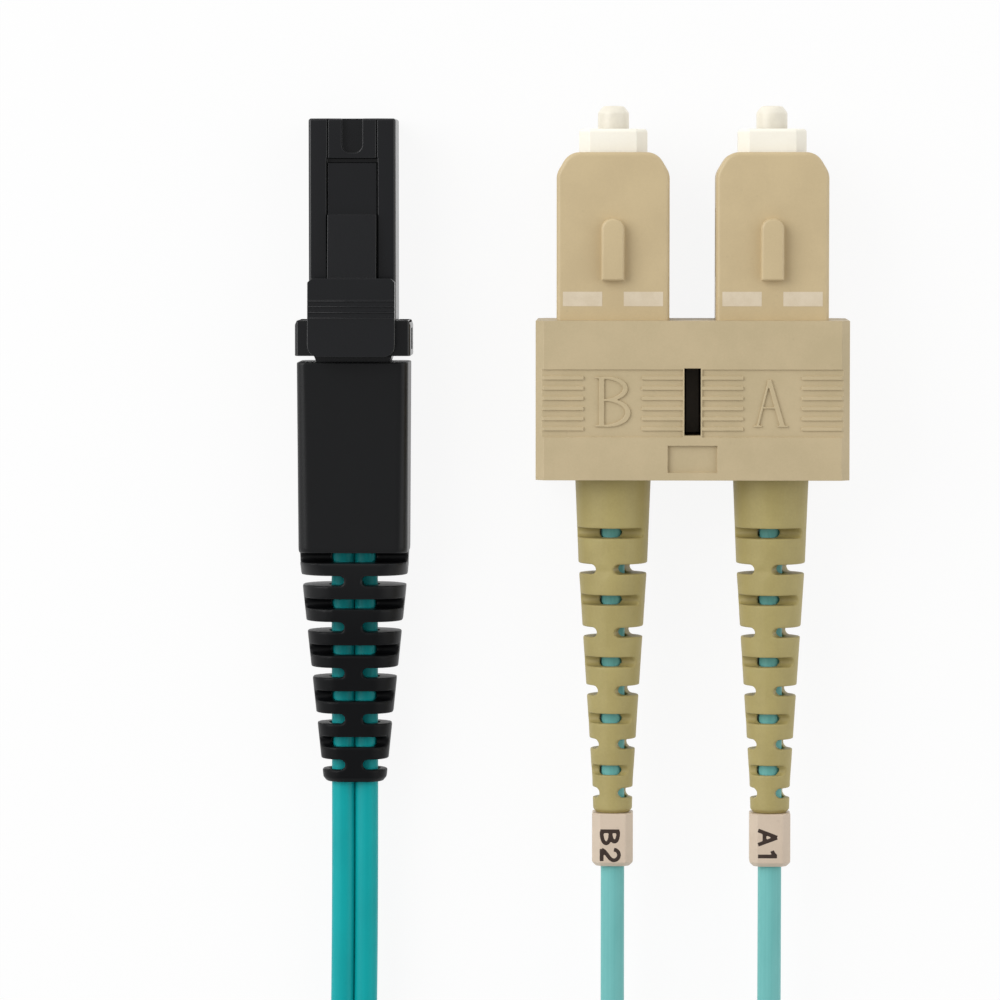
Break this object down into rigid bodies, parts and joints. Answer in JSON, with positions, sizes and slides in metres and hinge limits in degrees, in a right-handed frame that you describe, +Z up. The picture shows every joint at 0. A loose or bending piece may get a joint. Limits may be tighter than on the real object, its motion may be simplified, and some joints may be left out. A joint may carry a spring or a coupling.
{
  "type": "duplex fibre patch cord",
  "caption": "Aqua duplex fibre patch cord with a black latching rectangular plug at one end and a clipped pair of beige push-pull plugs at the other.",
  "frame": {"origin": "bottom centre of the two plug ends, on the surface they lie on", "axes": "+Y towards the plug tips, +X from the latch plug towards the push-pull pair, +Z up from the surface"},
  "size_m": [0.052, 0.1661, 0.0098],
  "materials": {
    "beige_plastic": "satin moulded",
    "clip_plastic": "satin moulded",
    "cream_plastic": "satin moulded",
    "ceramic_white": "polished",
    "olive_rubber": "matt moulded",
    "sleeve_plastic": "satin",
    "black_plastic": "semi-gloss moulded",
    "black_rubber": "matt moulded",
    "aqua_jacket": "satin extruded",
    "spring_steel": "drawn wire",
    "nickel_metal": "plated",
    "mark_white": "printed",
    "buffer_white": "satin extruded",
    "ferrule_resin": "filled resin",
    "tie_fabric": "woven"
  },
  "bodies": {
    "cord_and_frames": {"plug_frame_a": "cream_plastic", "ferrule_spring_a": "spring_steel", "stop_ring_a": "nickel_metal", "crimp_sleeve_a": "nickel_metal", "buffered_fibre_a": "buffer_white", "strain_boot_a": "olive_rubber", "marker_sleeve_a": "sleeve_plastic", "leg_root_a": "aqua_jacket", "leg_a": "aqua_jacket", "plug_frame_b": "cream_plastic", "ferrule_spring_b": "spring_steel", "stop_ring_b": "nickel_metal", "crimp_sleeve_b": "nickel_metal", "buffered_fibre_b": "buffer_white", "strain_boot_b": "olive_rubber", "marker_sleeve_b": "sleeve_plastic", "leg_root_b": "aqua_jacket", "leg_b": "aqua_jacket", "latch_plug_housing": "black_plastic", "latch_plug_spring": "spring_steel", "latch_plug_rear_body": "black_plastic", "latch_plug_crimp_ring": "nickel_metal", "latch_plug_boot": "black_rubber", "latch_plug_fibres": "buffer_white", "zip_root": "aqua_jacket", "zip_lead": "aqua_jacket", "zip_tail": "aqua_jacket", "cord_coil": "aqua_jacket", "coil_tie": "tie_fabric"},
    "duplex_grip": {"grip_housing_a": "beige_plastic", "grip_housing_b": "beige_plastic", "seating_marks_a": "mark_white", "seating_marks_b": "mark_white", "clip_upper_half": "clip_plastic", "clip_lower_half": "clip_plastic"},
    "ferrule_a_float": {"ferrule_a": "ceramic_white", "ferrule_holder_a": "nickel_metal"},
    "ferrule_b_float": {"ferrule_b": "ceramic_white", "ferrule_holder_b": "nickel_metal"},
    "latch_lever": {"latch_plug_lever": "black_plastic"},
    "latch_ferrule_float": {"latch_plug_ferrule": "ferrule_resin"}
  },
  "joints": [
    {"name": "grip_pull", "type": "slide", "parent": "cord_and_frames", "child": "duplex_grip", "axis": [0, -1, 0], "range_m": [0, 0.0015]},
    {"name": "ferrule_a_press", "type": "slide", "parent": "cord_and_frames", "child": "ferrule_a_float", "axis": [0, -1, 0], "range_m": [0, 0.001], "stiffness_N_per_m": 400, "deforming": ["ferrule_spring_a"]},
    {"name": "ferrule_b_press", "type": "slide", "parent": "cord_and_frames", "child": "ferrule_b_float", "axis": [0, -1, 0], "range_m": [0, 0.001], "stiffness_N_per_m": 400, "deforming": ["ferrule_spring_b"]},
    {"name": "lever_press", "type": "hinge", "parent": "cord_and_frames", "child": "latch_lever", "pos_m": [-0.01757, 0.02556, 0.00535], "axis": [1, 0, 0], "range_deg": [0, 5], "stiffness_Nm_per_rad": 0.02},
    {"name": "latch_ferrule_press", "type": "slide", "parent": "cord_and_frames", "child": "latch_ferrule_float", "axis": [0, -1, 0], "range_m": [0, 0.0007], "stiffness_N_per_m": 400, "deforming": ["latch_plug_spring"]}
  ]
}
